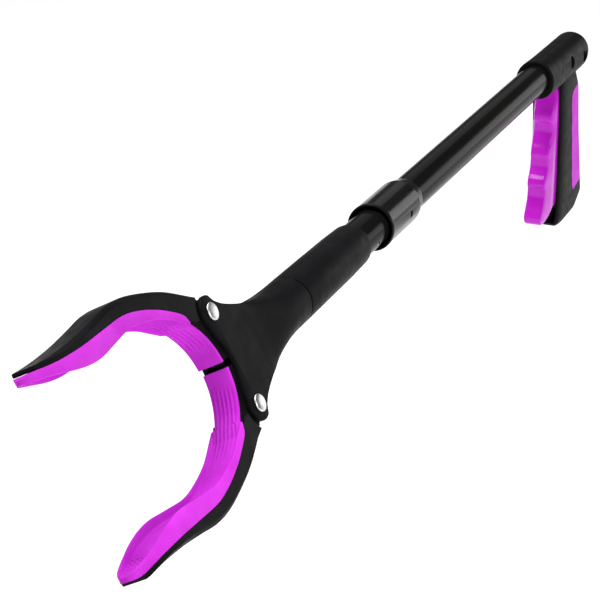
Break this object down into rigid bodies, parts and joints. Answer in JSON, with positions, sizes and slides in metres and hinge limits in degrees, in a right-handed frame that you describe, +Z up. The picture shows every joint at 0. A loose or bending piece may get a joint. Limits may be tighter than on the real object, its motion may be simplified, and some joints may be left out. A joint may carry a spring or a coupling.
{
  "type": "reacher grabber",
  "caption": "Folding reacher grabber with a pistol grip and full-length trigger, a tube with a locking sleeve, and a swivelling head with padded jaws closed by an internal cable.",
  "frame": {"origin": "middle of the grip's flat base", "axes": "+X along the tube towards the jaws, +Z up, +Y to the side that the grip's screws face"},
  "size_m": [0.8411, 0.0695, 0.1816],
  "materials": {
    "black_plastic": "fine matt grain",
    "gloss_black": "black, satin gloss",
    "sleeve_black": "black, satin gloss",
    "purple_rubber": "soft satin",
    "purple_gloss": "glossy",
    "steel": "bright zinc",
    "seal_rubber": "matt"
  },
  "bodies": {
    "handle": {"grip_shell_left": "black_plastic", "grip_shell_right": "black_plastic", "palm_pad": "purple_rubber", "grip_side_screw_1": "steel", "grip_side_screw_2": "steel", "grip_heel_screw": "steel", "trigger_pivot_pin": "steel", "rear_tube": "gloss_black", "fold_hinge_rear": "black_plastic", "hinge_plug_pin_rear": "steel", "fold_hinge_pin": "steel"},
    "trigger": {"trigger": "purple_gloss", "cable_anchor": "steel"},
    "cable_rear": {"pull_cable_rear": "steel"},
    "lock_sleeve": {"lock_sleeve": "sleeve_black"},
    "front": {"front_tube": "gloss_black", "fold_hinge_front": "black_plastic", "hinge_plug_pin_front": "steel", "neck_collar": "black_plastic", "neck_screw": "steel", "pull_cable_bend": "steel"},
    "cable_front": {"pull_cable_front": "steel"},
    "head": {"yoke_shell_left": "black_plastic", "yoke_shell_right": "black_plastic", "yoke_screw_1": "steel", "yoke_screw_2": "steel", "swivel_ring": "seal_rubber", "jaw_rivet_upper": "steel", "jaw_rivet_lower": "steel", "return_spring": "steel"},
    "crosshead": {"crosshead": "black_plastic", "cable_stop": "steel"},
    "jaw_upper": {"jaw_frame_upper": "black_plastic", "jaw_pad_upper": "purple_rubber"},
    "jaw_lower": {"jaw_frame_lower": "black_plastic", "jaw_pad_lower": "purple_rubber"}
  },
  "joints": [
    {"name": "trigger_pull", "type": "hinge", "parent": "handle", "child": "trigger", "pos_m": [0.028, 0, 0.136], "axis": [0, 1, 0], "range_deg": [0, 19.5], "stiffness_Nm_per_rad": 0.6, "springref_deg": -20.05},
    {"name": "cable_rear_slide", "type": "slide", "parent": "handle", "child": "cable_rear", "axis": [-0.9993, 0, -0.0384], "range_m": [0, 0.0059]},
    {"name": "fold", "type": "hinge", "parent": "handle", "child": "front", "pos_m": [0.413, 0, 0.1372], "axis": [0, -1, 0], "range_deg": [0, 165], "deforming": ["pull_cable_bend"]},
    {"name": "sleeve_slide", "type": "slide", "parent": "handle", "child": "lock_sleeve", "axis": [-1, 0, 0], "range_m": [0, 0.0876]},
    {"name": "cable_front_slide", "type": "slide", "parent": "front", "child": "cable_front", "axis": [-0.9996, 0, 0.0275], "range_m": [0, 0.0059]},
    {"name": "head_swivel", "type": "hinge", "parent": "front", "child": "head", "pos_m": [0.6404, 0, 0.128], "axis": [1, 0, 0], "range_deg": [-30, 60]},
    {"name": "crosshead_slide", "type": "slide", "parent": "head", "child": "crosshead", "axis": [-1, 0, 0], "range_m": [0, 0.0059], "deforming": ["return_spring"]},
    {"name": "jaw_upper_pivot", "type": "hinge", "parent": "head", "child": "jaw_upper", "pos_m": [0.6404, -0.0125, 0.14965], "axis": [0, 0.866, 0.5], "range_deg": [0, 19.5]},
    {"name": "jaw_lower_pivot", "type": "hinge", "parent": "head", "child": "jaw_lower", "pos_m": [0.6404, 0.0125, 0.10635], "axis": [0, -0.866, -0.5], "range_deg": [0, 16.1]}
  ],
  "couplings": [
    {"joint": "cable_rear_slide", "follows": "trigger_pull", "m_per_rad": 0.017},
    {"joint": "cable_front_slide", "follows": "trigger_pull", "m_per_rad": 0.017},
    {"joint": "crosshead_slide", "follows": "trigger_pull", "m_per_rad": 0.017},
    {"joint": "jaw_upper_pivot", "follows": "trigger_pull", "ratio": 0.9949},
    {"joint": "jaw_lower_pivot", "follows": "trigger_pull", "ratio": 0.8205},
    {"joint": "sleeve_slide", "follows": "fold", "m_per_rad": 0.0304}
  ]
}
